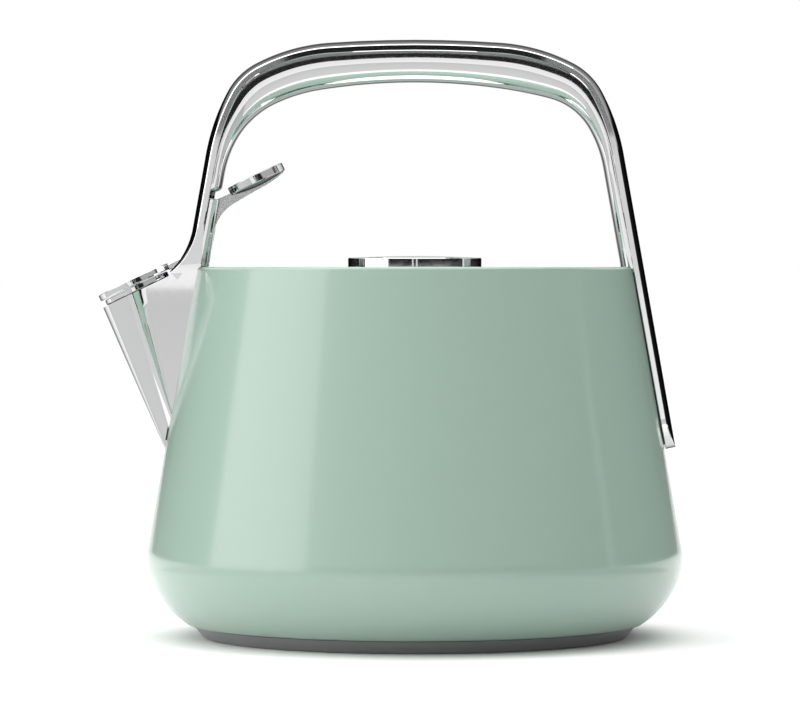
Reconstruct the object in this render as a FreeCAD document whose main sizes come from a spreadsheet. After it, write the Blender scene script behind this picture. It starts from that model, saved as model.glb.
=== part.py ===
import FreeCAD, Part
import math
import os

import Sketcher
from FreeCAD import Placement, Rotation, Vector

# Stovetop whistling kettle, millimetres. The origin is the centre of the base's resting face, +Z is up,
# and the spout points towards -X.

DRIVING = {
    # body shell
    "rim_radius": 80.9,        # where the wall's line meets the top plane
    "rim_height": 137.3,
    "wall_lean": 10.1,         # degrees from vertical
    "rim_bend": 1.4,
    "upper_bend": 19.0,        # two arcs that round the lower corner
    "lower_bend": 33.0,
    "upper_turn": 15.0,        # wall direction in degrees where the two arcs meet
    "lip_turn": 58.3,          # and at the lower lip
    "sheet": 1.2,
    "lip_height": 4.8,
    "land_radius": 77.0,       # inner edge of the flat rim land
    "seat_radius": 53.0,
    "seat_height": 126.5,
    "neck_radius": 47.5,
    "neck_depth": 11.5,
    # base
    "pan_radius": 81.5,
    "base_top_radius": 82.6,
    "base_foot_radius": 79.2,
    "base_edge_height": 4.4,
    "disc_radius": 78.0,
    # handle band
    "band_half": 10.5,
    "band_thick": 4.5,
    "band_crown": 2.2,
    "arch_height": 221.8,
    "arch_bend_a": 457.0,
    "arch_turn_a": 4.0,
    "arch_bend_b": 69.1,
    "arch_turn_b": 23.4,
    "arch_bend_c": 25.7,
    "arch_turn_c": 34.6,
    "arch_bend_d": 79.8,
    "tongue_tip": 70.3,
    "gasket": 0.5,
    # grip liner
    "belly_half": 9.7,
    "belly_apex_depth": 11.4,
    "belly_end_height": 167.0,
    # spout neck
    "neck_top": 153.0,
    "shoulder_bend": 30.0,
    "tilt": 25.5,              # slope of the mouth, the whistle and the thumb pad
    "cap_x": -104.0,           # centre of the whistle cap's underside
    "cap_z": 130.5,
    "mouth_drop": 2.5,         # from the cap's underside down to the mouth plane
    "collar_radius": 13.8,
    "collar_depth": 8.0,
    "mouth_bore": 10.0,
    "mouth_bore_depth": 7.0,
    "nose_x": -104.9,          # top of the nose's axis
    "nose_z": 126.3,
    "nose_lean": 18.2,
    "nose_radius": 12.0,
    "nose_taper": 0.091,
    "nose_wall": 2.4,
    "web_foot_half": 7.6,
    "web_foot_height": 71.0,
    "window_half": 6.5,
    "window_low": 86.0,
    "window_high": 118.0,
    # lever
    "pivot_x": -78.6,
    "pivot_z": 140.0,
    "pin_radius": 0.9,
    "pin_play": 0.05,
    "hub_radius": 2.4,
    "arm_half": 2.2,
    "slot_half": 4.2,
    "guide_half": 9.0,
    "guide_depth": 3.6,
    "guide_web": 0.8,
    "guide_top": 162.5,
    "pad_x": -59.6,            # centre of the thumb pad's top
    "pad_z": 171.3,
    "pad_radius": 11.15,
    "pad_thick": 3.0,
    "pad_dome": 1.3,
    # whistle
    "cap_radius": 14.25,
    "cap_thick": 2.3,
    "steam_gap": 0.4,
    "plate_radius": 12.8,
    "plate_thick": 1.8,
    "cup_radius": 9.0,
    "cup_depth": 5.0,
    "cup_wall": 0.8,
    "spigot_radius": 2.0,
    # lid
    "lid_radius": 52.2,
    "skirt_radius": 45.9,
    "skirt_wall": 1.0,
    "skirt_depth": 12.0,
    "gasket_radius": 47.1,
    "knob_radius": 24.85,
    "knob_low": 133.0,
    "knob_edge": 140.7,
    "knob_top": 141.4,
    "spacer_radius": 9.0,
    "screw_radius": 2.5,
    "screw_play": 0.1,
    # fasteners through the wall
    "bolt_radius": 1.5,
    "bolt_head_radius": 2.8,
    "bolt_head": 2.0,
    "washer_radius": 3.6,
    "washer_thick": 0.8,
    "washer_lift": 0.06,       # flat washers clear the curved wall by this much
}

doc = FreeCAD.newDocument("Kettle")
sheet = doc.addObject("Spreadsheet::Sheet", "Sizes")
for row, (alias, value) in enumerate(DRIVING.items(), start=1):
    sheet.set(f"A{row}", alias)
    sheet.set(f"B{row}", str(value))
    sheet.setAlias(f"B{row}", alias)
doc.recompute()


class Size:
    """A length or angle worked out from the sheet: its number, and the expression that gives it."""

    def __init__(self, number, text):
        self.number = number
        self.text = text

    def __add__(self, other):
        other = size(other)
        return Size(self.number + other.number, f"({self.text} + {other.text})")

    def __sub__(self, other):
        other = size(other)
        return Size(self.number - other.number, f"({self.text} - {other.text})")

    def __mul__(self, other):
        other = size(other)
        return Size(self.number * other.number, f"({self.text} * {other.text})")

    def __truediv__(self, other):
        other = size(other)
        return Size(self.number / other.number, f"({self.text} / {other.text})")

    def __radd__(self, other):
        return size(other) + self

    def __rsub__(self, other):
        return size(other) - self

    def __rmul__(self, other):
        return size(other) * self

    def __neg__(self):
        return size(0) - self


def size(value):
    """A plain number as a Size; a Size stays as it is."""
    if isinstance(value, Size):
        return value
    return Size(float(value), f"({float(value):.6f})")


def cell(alias):
    return Size(DRIVING[alias], f"Sizes.{alias}")


def sin(angle):
    return Size(math.sin(math.radians(angle.number)), f"sin({angle.text})")


def cos(angle):
    return Size(math.cos(math.radians(angle.number)), f"cos({angle.text})")


def tan(angle):
    return Size(math.tan(math.radians(angle.number)), f"tan({angle.text})")


def bind(thing, prop, value):
    """Drives a property from the sheet."""
    value = size(value)
    thing.setExpression(prop, value.text)


# ---------------------------------------------------------------- drawing helpers

nodes = []


def keep(thing, label):
    """Names a finished sub-part; its label is the node's and the file's name."""
    thing.Label = label
    nodes.append(thing)
    return thing


def put(thing, x, y, z, along=(0, 0, 1)):
    """Places an object at a point driven by the sheet, its own Z axis turned to `along`."""
    x, y, z = size(x), size(y), size(z)
    turn = Rotation(Vector(0, 0, 1), Vector(*along))
    thing.Placement = Placement(Vector(x.number, y.number, z.number), turn)
    bind(thing, "Placement.Base.x", x)
    bind(thing, "Placement.Base.y", y)
    bind(thing, "Placement.Base.z", z)
    return thing


def arc_between(start, end, radius):
    """A short arc from start to end. A positive radius bends left of the way, a negative one right.

    Returns the arc, which always runs anticlockwise, and which of its ends is the start.
    """
    chord = end.sub(start)
    half = chord.Length / 2
    rise = math.sqrt(max(radius * radius - half * half, 0.0))
    left = Vector(-chord.y, chord.x, 0).normalize()
    centre = start.add(end).multiply(0.5).add(left.multiply(math.copysign(rise, radius)))
    first = math.atan2(start.y - centre.y, start.x - centre.x)
    last = math.atan2(end.y - centre.y, end.x - centre.x)
    circle = Part.Circle(centre, Vector(0, 0, 1), abs(radius))
    if radius > 0:
        return Part.ArcOfCircle(circle, first, last), (1, 2)
    return Part.ArcOfCircle(circle, last, first), (2, 1)


def pin_point(sketch, edge, end, across, up):
    """Fixes one end of an edge at (across, up), both driven by the sheet."""
    for kind, axis, value in (("DistanceX", -2, across), ("DistanceY", -1, up)):
        if not isinstance(value, Size) and value == 0:
            sketch.addConstraint(Sketcher.Constraint("PointOnObject", edge, end, axis))
            continue
        value = size(value)
        index = sketch.addConstraint(Sketcher.Constraint(kind, -1, 1, edge, end, value.number))
        bind(sketch, f"Constraints[{index}]", value)


def draw(sketch, corners, closed=True):
    """Draws lines and arcs through the corners. A corner's third value is the signed radius of the arc
    that leaves it."""
    ends = []
    count = len(corners) if closed else len(corners) - 1
    for index in range(count):
        here = corners[index]
        there = corners[(index + 1) % len(corners)]
        start = Vector(size(here[0]).number, size(here[1]).number, 0)
        stop = Vector(size(there[0]).number, size(there[1]).number, 0)
        if len(here) == 2:
            sketch.addGeometry(Part.LineSegment(start, stop))
            ends.append((1, 2))
        else:
            edge, which = arc_between(start, stop, size(here[2]).number)
            sketch.addGeometry(edge)
            ends.append(which)
    for index in range(count):
        pin_point(sketch, index, ends[index][0], corners[index][0], corners[index][1])
        if closed or index + 1 < count:
            after = (index + 1) % count
            join = Sketcher.Constraint("Coincident", index, ends[index][1], after, ends[after][0])
            sketch.addConstraint(join)
        else:
            pin_point(sketch, index, ends[index][1], corners[-1][0], corners[-1][1])
        if len(corners[index]) == 3:
            radius = size(corners[index][2])
            bend = radius if radius.number > 0 else -radius
            number = sketch.addConstraint(Sketcher.Constraint("Radius", index, bend.number))
            bind(sketch, f"Constraints[{number}]", bend)


def body_sketch(body, plane, corners, closed=True):
    """A sketch of the corners on one of the body's own origin planes."""
    sketch = body.newObject("Sketcher::SketchObject", "Outline")
    support = next(part for part in body.Origin.OriginFeatures if part.Role == plane)
    sketch.AttachmentSupport = [(support, "")]
    sketch.MapMode = "FlatFace"
    draw(sketch, corners, closed)
    return sketch


def turned(name, corners):
    """A body of revolution about Z; corners are (radius, height)."""
    body = doc.addObject("PartDesign::Body", name)
    sketch = body_sketch(body, "XZ_Plane", corners)
    spin = body.newObject("PartDesign::Revolution", "Turning")
    spin.Profile = sketch
    spin.ReferenceAxis = (sketch, ["V_Axis"])
    spin.Angle = 360
    return body


def plate(name, corners, half):
    """A plate parallel to the XZ plane, centred on it; corners are (x, z)."""
    body = doc.addObject("PartDesign::Body", name)
    sketch = body_sketch(body, "XZ_Plane", corners)
    pad = body.newObject("PartDesign::Pad", "Thickness")
    pad.Profile = sketch
    pad.Midplane = True
    bind(pad, "Length", 2 * half)
    return body


def prism(name, corners, length, toward_spout):
    """A bar along X from the YZ plane; corners are (y, z)."""
    body = doc.addObject("PartDesign::Body", name)
    sketch = body_sketch(body, "YZ_Plane", corners)
    pad = body.newObject("PartDesign::Pad", "Reach")
    pad.Profile = sketch
    pad.Reversed = toward_spout
    bind(pad, "Length", length)
    return body


def rod(name, radius, length, x, y, z, along=(0, 0, 1)):
    """A round bar that starts at (x, y, z)."""
    bar = doc.addObject("Part::Cylinder", name)
    bind(bar, "Radius", radius)
    bind(bar, "Height", length)
    return put(bar, x, y, z, along)


def taper(name, low_radius, high_radius, length, x, y, z, along=(0, 0, 1)):
    """A cone frustum that starts at (x, y, z) with low_radius."""
    cone = doc.addObject("Part::Cone", name)
    bind(cone, "Radius1", low_radius)
    bind(cone, "Radius2", high_radius)
    bind(cone, "Height", length)
    return put(cone, x, y, z, along)


def join(name, *things):
    fusion = doc.addObject("Part::MultiFuse", name)
    fusion.Shapes = list(things)
    return fusion


def group(name, *things):
    cluster = doc.addObject("Part::Compound", name)
    cluster.Links = list(things)
    return cluster


def overlap(name, first, second):
    shared = doc.addObject("Part::MultiCommon", name)
    shared.Shapes = [first, second]
    return shared


def less(name, base, *tools):
    """The base with every tool cut away."""
    cut = doc.addObject("Part::Cut", name)
    cut.Base = base
    cut.Tool = tools[0] if len(tools) == 1 else join(name + "_tools", *tools)
    return cut


# ---------------------------------------------------------------- shared places and directions

lean = cell("wall_lean")
tilt = cell("tilt")
rim = cell("rim_height")
OUT_OF_MOUTH = (-math.sin(math.radians(DRIVING["tilt"])), 0, math.cos(math.radians(DRIVING["tilt"])))
UP_THE_NOSE = (-math.sin(math.radians(DRIVING["nose_lean"])), 0, math.cos(math.radians(DRIVING["nose_lean"])))
TO_BACK = (0, 1, 0)


def wall_radius(height):
    """Outer radius of the cone wall."""
    return cell("rim_radius") + (rim - height) * tan(lean)


def whistle_point(along_normal):
    """A point on the whistle's axis, measured from the cap's underside."""
    along_normal = size(along_normal)
    return cell("cap_x") - along_normal * sin(tilt), cell("cap_z") + along_normal * cos(tilt)


def arch_corners(side):
    """Ridge of the handle band from its top down one leg to where it runs straight; side is 1 or -1."""
    turns = [cell("arch_turn_a"), cell("arch_turn_b"), cell("arch_turn_c")]
    turns.append(90 - lean - turns[0] - turns[1] - turns[2])
    bends = [cell("arch_bend_" + letter) for letter in "abcd"]
    across, height, heading = size(0), cell("arch_height"), size(0)
    corners = []
    for bend, turn in zip(bends, turns):
        corners.append((side * across if corners else 0, height, -side * bend))
        after = heading + turn
        across = across + bend * (sin(after) - sin(heading))
        height = height - bend * (cos(heading) - cos(after))
        heading = after
    corners.append((side * across, height))
    return corners


leg_start = arch_corners(1)[-1]


def ridge(height):
    """How far the straight leg's ridge stands from the axis."""
    return leg_start[0] + (leg_start[1] - height) * tan(lean)


def underside(height):
    """How far the straight leg's inner face stands from the axis."""
    return ridge(height) - cell("band_thick") / cos(lean)


# ---------------------------------------------------------------- body and base


def lower_corner(depth):
    """The rounded lower corner from lip to wall, `depth` inside the outer surface, as three points."""
    upper_turn, lip_turn = cell("upper_turn"), cell("lip_turn")
    upper, lower = cell("upper_bend"), cell("lower_bend")
    join_height = cell("lip_height") + lower * (sin(lip_turn) - sin(upper_turn))
    wall_height = join_height + upper * (sin(upper_turn) + sin(lean))
    join_radius = wall_radius(wall_height) + upper * (cos(upper_turn) - cos(lean))
    lip_radius = join_radius + lower * (cos(lip_turn) - cos(upper_turn))
    lip = (lip_radius - depth * cos(lip_turn), cell("lip_height") + depth * sin(lip_turn))
    middle = (join_radius - depth * cos(upper_turn), join_height + depth * sin(upper_turn))
    wall = (wall_radius(wall_height) - depth * cos(lean), wall_height - depth * sin(lean))
    return lip, middle, wall


def body_shell(tools):
    thick = cell("sheet")
    lip, middle, wall = lower_corner(size(0))
    lip_in, middle_in, wall_in = lower_corner(thick)
    trim = cell("rim_bend") * tan(45 - lean / 2)
    roof = rim - thick
    corners = [
        (cell("pan_radius"), cell("lip_height")),
        lip + (cell("lower_bend"),),
        middle + (cell("upper_bend"),),
        wall,
        (cell("rim_radius") + trim * sin(lean), rim - trim * cos(lean), cell("rim_bend")),
        (cell("rim_radius") - trim, rim),
        (cell("land_radius"), rim),
        (cell("seat_radius"), cell("seat_height")),
        (cell("neck_radius"), cell("seat_height")),
        (cell("neck_radius"), cell("seat_height") - cell("neck_depth")),
        (cell("neck_radius") + thick, cell("seat_height") - cell("neck_depth")),
        (cell("neck_radius") + thick, cell("seat_height") - thick),
        (cell("seat_radius"), cell("seat_height") - thick),
        (cell("land_radius"), roof),
        (wall_radius(roof) - thick / cos(lean), roof),
        wall_in + (-(cell("upper_bend") - thick),),
        middle_in + (-(cell("lower_bend") - thick),),
        lip_in,
        (cell("pan_radius"), lip_in[1]),
    ]
    return keep(less("Shell", turned("ShellTurned", corners), *tools), "body_shell")


def base():
    lip_in = lower_corner(cell("sheet"))[0]
    low = cell("lip_height")
    edge = low - cell("base_edge_height")
    thick = cell("sheet")
    pan = [(0, low), (cell("pan_radius"), low), (cell("pan_radius"), lip_in[1]), (0, lip_in[1])]
    keep(turned("Pan", pan), "bottom_pan")
    disc = [(0, thick), (cell("disc_radius"), thick), (cell("disc_radius"), low), (0, low)]
    keep(turned("Disc", disc), "heat_disc")
    cap = [
        (0, 0),
        (cell("base_foot_radius"), 0),
        (cell("base_top_radius"), cell("base_edge_height")),
        (cell("base_top_radius") - edge, low),
        (cell("disc_radius"), low),
        (cell("disc_radius"), thick),
        (0, thick),
    ]
    keep(turned("BaseCap", cap), "base_cap")


# ---------------------------------------------------------------- handle


def band_sweep(name, path_corners):
    """The band's crowned section swept along a ridge that starts at the top of the arch."""
    path_body = doc.addObject("PartDesign::Body", name + "Path")
    path = body_sketch(path_body, "XZ_Plane", path_corners, closed=False)
    section_body = doc.addObject("PartDesign::Body", name + "Section")
    half, top = cell("band_half"), cell("arch_height")
    crown = cell("band_crown")
    bulge = (half * half + crown * crown) / (2 * crown)
    corners = [
        (-half, top - cell("band_thick")),
        (half, top - cell("band_thick")),
        (half, top - crown, bulge),
        (-half, top - crown),
    ]
    section = body_sketch(section_body, "YZ_Plane", corners)
    sweep = doc.addObject("Part::Sweep", name)
    sweep.Sections = [section]
    sweep.Spine = (path, [f"Edge{index + 1}" for index in range(len(path_corners) - 1)])
    sweep.Solid = True
    sweep.Frenet = False
    return sweep


def tongue_corners(inset):
    """Outline of the right leg seen along X: a bar with a round lower end."""
    half = cell("band_half") - inset
    start = cell("tongue_tip") + cell("band_half")
    top = cell("arch_height") + 10
    return [(-half, start, half), (0, start - half, half), (half, start), (half, top), (-half, top)]


def handle_arch(left_band, envelope, tools):
    reach = cell("tongue_tip") - 3
    right_path = arch_corners(1) + [(ridge(reach), reach)]
    right_band = band_sweep("RightBand", right_path)
    right_limit = prism("RightLimit", tongue_corners(size(0)), size(120), False)
    half = cell("band_half") + 1
    top = cell("arch_height") + 10
    left_outline = [(-half, cell("neck_top")), (half, cell("neck_top")), (half, top), (-half, top)]
    left_limit = prism("LeftLimit", left_outline, size(120), True)
    right = overlap("RightPart", right_band, right_limit)
    left = overlap("LeftPart", left_band, left_limit)
    keep(less("Arch", join("ArchWhole", right, left), envelope, *tools), "handle_arch")


# radius and turn of each stretch of the grip's lower line, from its middle down to the leg
GRIP_BENDS = {
    -1: ((225.0, 9.0), (62.0, 16.0), (32.7, 37.0), (40.0, 17.9)),
    1: ((225.0, 9.0), (150.0, 6.0), (23.5, 45.0), (45.0, 19.9)),
}


def bent_line(bends, top, side, low):
    """Fine points from (0, top) round the bends and then straight down to the height low."""
    across, height, heading = 0.0, top, 0.0
    line = [Vector(0, 0, top)]
    for bend, turn in bends:
        steps = max(4, round(turn))
        for _ in range(steps):
            after = heading + math.radians(turn) / steps
            across += bend * (math.sin(after) - math.sin(heading))
            height -= bend * (math.cos(heading) - math.cos(after))
            heading = after
            line.append(Vector(side * across, 0, height))
    line.append(Vector(side * (across + (height - low) / math.tan(heading)), 0, low))
    return line


def spaced(line, count):
    """The same line as evenly spaced points."""
    path = Part.makePolygon(line)
    return path.discretize(Number=count + 1)


def band_inside_bends():
    """Bends of the band's inner face, which the grip liner lies against."""
    thick = DRIVING["band_thick"]
    turns = [DRIVING["arch_turn_a"], DRIVING["arch_turn_b"], DRIVING["arch_turn_c"]]
    turns.append(90 - DRIVING["wall_lean"] - sum(turns))
    return [(DRIVING["arch_bend_" + letter] - thick, turn) for letter, turn in zip("abcd", turns)]


def belly_section(root, foot):
    """Deep rounded section between the band's inner face and the grip's lower line."""
    half = DRIVING["belly_half"]
    fullness = 0.8
    points = []
    for step in range(17):
        turn = math.pi * step / 16
        swing = math.cos(turn)
        across = -half * math.copysign(abs(swing) ** fullness, swing)
        points.append(root + Vector(0, across, 0) + (foot - root) * (abs(math.sin(turn)) ** fullness))
    curve = Part.BSplineCurve()
    curve.interpolate(points)
    return Part.Wire([curve.toShape(), Part.LineSegment(points[-1], points[0]).toShape()])


def grip_belly():
    """Liner of the grip, from its end on the left leg over the top to the right leg's foot."""
    stations = 36
    band_top = DRIVING["arch_height"] - DRIVING["band_thick"]
    grip_top = band_top - DRIVING["belly_apex_depth"]
    wires = []
    for side, low in ((-1, DRIVING["belly_end_height"]), (1, DRIVING["rim_height"] - 4)):
        roots = spaced(bent_line(band_inside_bends(), band_top, side, low), stations)
        feet = spaced(bent_line(GRIP_BENDS[side], grip_top, side, low), stations)
        half_way = [belly_section(root, foot) for root, foot in zip(roots, feet)]
        wires += reversed(half_way) if side < 0 else half_way[1:]
    loft = doc.addObject("Part::Feature", "BellyLoft")
    loft.Shape = Part.makeLoft(wires, True, True)
    below = doc.addObject("Part::Box", "BelowRim")
    for prop in ("Length", "Width", "Height"):
        bind(below, prop, size(60))
    put(below, 50, -30, rim - 60)
    return loft, below


def shoulder_corners():
    """Ridge of the left leg, down the hollow shoulder and along the mouth plane towards the collar."""
    top = arch_corners(-1)
    mouth_x, mouth_z = whistle_point(-cell("mouth_drop"))
    # where the straight leg's line meets the mouth plane
    run = leg_start[0] + leg_start[1] * tan(lean) + mouth_x
    corner_z = (mouth_z - run * tan(tilt)) / (1 - tan(lean) * tan(tilt))
    corner_x = -ridge(corner_z)
    reach = cell("shoulder_bend") * tan((90 - lean - tilt) / 2)
    start = (corner_x + reach * sin(lean), corner_z + reach * cos(lean), -cell("shoulder_bend"))
    stop = (corner_x - reach * cos(tilt), corner_z - reach * sin(tilt))
    last = (stop[0] - 2 * cos(tilt), stop[1] - 2 * sin(tilt))
    return top + [start, stop, last]


def spout_neck(left_band, envelope, tools):
    corners = shoulder_corners()
    start, stop = corners[-3], corners[-2]
    inset = cell("band_crown") + 0.2
    mouth_x, mouth_z = whistle_point(-cell("mouth_drop"))
    nose_x, nose_z = cell("nose_x"), cell("nose_z")
    foot_x = nose_x + 58 * sin(cell("nose_lean"))
    foot_z = nose_z - 58 * cos(cell("nose_lean"))
    web_top = cell("neck_top")
    web = [
        (-(ridge(web_top) - inset), web_top),
        (start[0] + inset * cos(lean), start[1] - inset * sin(lean), -(cell("shoulder_bend") + inset)),
        (stop[0] + inset * sin(tilt), stop[1] - inset * cos(tilt)),
        (nose_x, mouth_z + (nose_x - mouth_x) * tan(tilt) - inset),
        (foot_x, foot_z),
        (-underside(rim), foot_z),
        (-underside(rim), rim),
        (-underside(web_top), web_top),
    ]
    half, foot_half = cell("band_half"), cell("web_foot_half")
    low = cell("web_foot_height") - 2
    front = [(-foot_half, low), (foot_half, low), (half, rim), (half, 180), (-half, 180), (-half, rim)]
    web_part = overlap("Web", plate("WebPlate", web, half), prism("WebFront", front, size(130), True))

    # the crowned band runs on down the shoulder
    below = [(-20, 100), (20, 100), (20, web_top), (-20, web_top)]
    crown = overlap("ShoulderBand", left_band, prism("BelowNeckTop", below, size(130), True))

    # round nose, cut off at the mouth plane, and the collar under the whistle
    rise, fall = 9, 62
    nose = taper(
        "NoseCone",
        cell("nose_radius") - fall * cell("nose_taper"),
        cell("nose_radius") + rise * cell("nose_taper"),
        rise + fall,
        nose_x + fall * sin(cell("nose_lean")),
        0,
        nose_z - fall * cos(cell("nose_lean")),
        UP_THE_NOSE,
    )
    above = rod("AboveMouth", size(40), size(30), mouth_x, 0, mouth_z, OUT_OF_MOUTH)
    nose_part = less("Nose", nose, above)
    collar_x, collar_z = whistle_point(-cell("mouth_drop") - cell("collar_depth"))
    bore, rim_edge, depth = cell("mouth_bore"), cell("collar_radius"), cell("collar_depth")
    collar = taper("Collar", bore, rim_edge, depth, collar_x, 0, collar_z, OUT_OF_MOUTH)
    whole = join("NeckWhole", web_part, crown, nose_part, collar)

    # the whistle's spot face, the mouth's bore and the passage down the nose
    face = rod("SpotFace", cell("plate_radius") + 0.5, 4, mouth_x, 0, mouth_z, OUT_OF_MOUTH)
    bore_x, bore_z = whistle_point(-cell("mouth_drop") - cell("mouth_bore_depth"))
    bore = rod("MouthBore", cell("mouth_bore"), cell("mouth_bore_depth") + 1, bore_x, 0, bore_z, OUT_OF_MOUTH)
    deep = 40
    inner = cell("nose_radius") - cell("nose_wall")
    passage = taper(
        "NosePassage",
        inner - deep * cell("nose_taper"),
        inner - 3 * cell("nose_taper"),
        deep - 3,
        nose_x + deep * sin(cell("nose_lean")),
        0,
        nose_z - deep * cos(cell("nose_lean")),
        UP_THE_NOSE,
    )
    return keep(less("Neck", whole, envelope, face, bore, passage, *tools), "spout_neck")


def water_window():
    """The passage through the wall behind the spout, cut from casting, gasket and shell alike."""
    low, high = cell("window_low"), cell("window_high")
    slope = tan(cell("nose_lean"))
    nose_x, nose_z = cell("nose_x"), cell("nose_z")
    corners = [
        (nose_x + (nose_z - low) * slope, low),
        (-70, low),
        (-70, high),
        (nose_x + (nose_z - high) * slope, high),
    ]
    return plate("WaterWindow", corners, cell("window_half"))


def lever_slot():
    """Slot through the shoulder that the lever's front finger passes and lifts in."""
    corners = [(-70, 137.35), (-84, 137.35), (-94, 134.3), (-94, 146.5), (-70, 146.5)]
    return plate("LeverSlot", corners, cell("slot_half"))


def lever_guide():
    """U-shaped channel on the inner side of the left leg; its cheeks hold the pin."""
    top, deep = cell("guide_top"), cell("guide_depth") / cos(lean)
    outline = [
        (-underside(rim), rim),
        (-underside(rim) + deep, rim),
        (-underside(top) + deep, top),
        (-underside(top), top),
    ]
    half = cell("guide_half")
    block = plate("GuideBlock", outline, half)
    web = cell("guide_web") / cos(lean)
    start = size(146.5)
    channel = [
        (-90, rim - 1),
        (-60, rim - 1),
        (-60, top + 1),
        (-underside(top) + web, top + 1),
        (-underside(start) + web, start),
        (-90, start),
    ]
    slot = plate("GuideSlot", channel, cell("slot_half"))
    pin = rod("GuidePinHole", cell("pin_radius"), 2 * half, cell("pivot_x"), -half, cell("pivot_z"), TO_BACK)
    return keep(less("Guide", block, slot, pin), "lever_guide")


def wall_ring():
    """The gap between wall and castings that the gaskets fill."""
    low, high = size(60), size(135)
    gap = cell("gasket") / cos(lean)
    corners = [
        (wall_radius(low), low),
        (wall_radius(low) + gap, low),
        (wall_radius(high) + gap, high),
        (wall_radius(high), high),
    ]
    return turned("WallRing", corners)


# ---------------------------------------------------------------- fasteners through the wall


def wall_bolt(name, side, across_y, height, depth, sag):
    """Bolt, washer and hole tool from inside; sag is how far the wall bends in at the washer's edge."""
    lean_angle = math.radians(DRIVING["wall_lean"])
    out = (side * math.cos(lean_angle), 0, math.sin(lean_angle))
    thick = cell("sheet")
    inset = thick + sag + cell("washer_lift")

    def at(distance):
        centre = wall_radius(height)
        return side * (centre + distance * cos(lean)), across_y, height + distance * sin(lean)

    washer_start = -(inset + cell("washer_thick"))
    head_start = washer_start - cell("bolt_head")
    shank = rod(name + "Shank", cell("bolt_radius"), depth - washer_start, *at(washer_start), out)
    head = rod(name + "Head", cell("bolt_head_radius"), cell("bolt_head"), *at(head_start), out)
    disc = rod(name + "Disc", cell("washer_radius"), cell("washer_thick"), *at(washer_start), out)
    hole = rod(name + "Hole", cell("bolt_radius"), depth - head_start, *at(head_start), out)
    bolt = join(name + "Bolt", shank, head)
    washer = less(name + "Washer", disc, hole)
    return bolt, washer, hole


def bolt_set(label, side, places, depth):
    """Identical bolts and washers at (y, z) places; returns the hole tools."""
    bolts, washers, holes = [], [], []
    for index, (across_y, height) in enumerate(places):
        far = size(abs(across_y)) + cell("washer_radius")
        level = size(height)
        sag = far * far / (2 * wall_radius(level))
        bolt, washer, hole = wall_bolt(f"{label}{index}", side, size(across_y), level, depth, sag)
        bolts.append(bolt)
        washers.append(washer)
        holes.append(hole)
    keep(group(label + "Bolts", *bolts), label + "_screws")
    keep(group(label + "Washers", *washers), label + "_washers")
    return holes


# ---------------------------------------------------------------- whistle lever


def lever_arm(cap_tool, pad_tool):
    """The rocker's blade: hub, front finger to the cap and thumb lever up inside the leg."""
    pivot_x, pivot_z = cell("pivot_x"), cell("pivot_z")
    play = cell("guide_web") / cos(lean) + 0.5
    front = cell("guide_depth") / cos(lean) - 0.2
    low, bend_low, top = size(146.5), size(150.5), size(162.0)
    pad_low_x = cell("pad_x") + cell("pad_thick") * sin(tilt)
    pad_low_z = cell("pad_z") - cell("pad_thick") * cos(tilt) + 1.1
    line = tan(tilt)
    outline = [
        (-92.7, 135.9),
        (-88.5, 136.9),
        (pivot_x - 1.6, pivot_z - 1.7),
        (pivot_x + cell("hub_radius"), pivot_z),
        (-underside(bend_low) + front, bend_low, -15.7),
        (-66.7, 161.2),
        (-55.0, 168.0),
        (-48.9, 172.6),
        (-50.5, pad_low_z + (-50.5 - pad_low_x) * line),
        (-73.0, pad_low_z + (-73.0 - pad_low_x) * line),
        (-underside(top) + play, top),
        (-underside(low) + play, low),
        (-82.5, 142.9),
        (-93.6, 137.7),
    ]
    half = cell("arm_half")
    blade = plate("Blade", outline, half)
    hub = rod("Hub", cell("hub_radius"), 2 * half, pivot_x, -half, pivot_z, TO_BACK)
    bore = cell("pin_radius") + cell("pin_play")
    hole = rod("HubHole", bore, 2 * half + 2, pivot_x, -half - 1, pivot_z, TO_BACK)
    keep(less("Arm", join("ArmWhole", blade, hub), hole, cap_tool, pad_tool), "lever_arm")


def pivot_parts():
    """Pin through the channel's cheeks and the wire spring wound on it beside the blade."""
    half = cell("guide_half")
    pin = rod("Pin", cell("pin_radius"), 2 * half, cell("pivot_x"), -half, cell("pivot_z"), TO_BACK)
    keep(pin, "pivot_pin")
    wire_radius, coil_radius, pitch, turns, reach = 0.25, 1.5, 0.62, 2, 2.2
    coil = Part.makeHelix(pitch, pitch * turns, coil_radius)
    leg = Part.LineSegment(Vector(coil_radius, -reach, 0), Vector(coil_radius, 0, 0)).toShape()
    end = Part.LineSegment(
        Vector(coil_radius, 0, pitch * turns), Vector(coil_radius, reach, pitch * turns)
    ).toShape()
    path = Part.Wire([leg] + list(coil.Edges) + [end])
    ring = Part.Wire([Part.makeCircle(wire_radius, Vector(coil_radius, -reach, 0), Vector(0, 1, 0))])
    spring = doc.addObject("Part::Feature", "Spring")
    spring.Shape = path.makePipeShell([ring], True, True)
    put(spring, cell("pivot_x"), cell("arm_half") + 0.35, cell("pivot_z"), TO_BACK)
    keep(spring, "lever_spring")


def thumb_pad():
    """Disc with a shallow domed underside, its axis square to the tilt."""
    radius, thick, dome = cell("pad_radius"), cell("pad_thick"), cell("pad_dome")
    bulge = (radius * radius + dome * dome) / (2 * dome)
    ease = size(0.4)
    corners = [
        (0, -thick - dome, bulge),
        (radius, -thick),
        (radius, -ease, ease),
        (radius - ease, 0),
        (0, 0),
    ]
    return put(turned("Pad", corners), cell("pad_x"), 0, cell("pad_z"), OUT_OF_MOUTH)


def whistle_part(name, corners):
    """A turned piece on the whistle's axis; heights count from the cap's underside."""
    return put(turned(name, corners), cell("cap_x"), 0, cell("cap_z"), OUT_OF_MOUTH)


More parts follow.
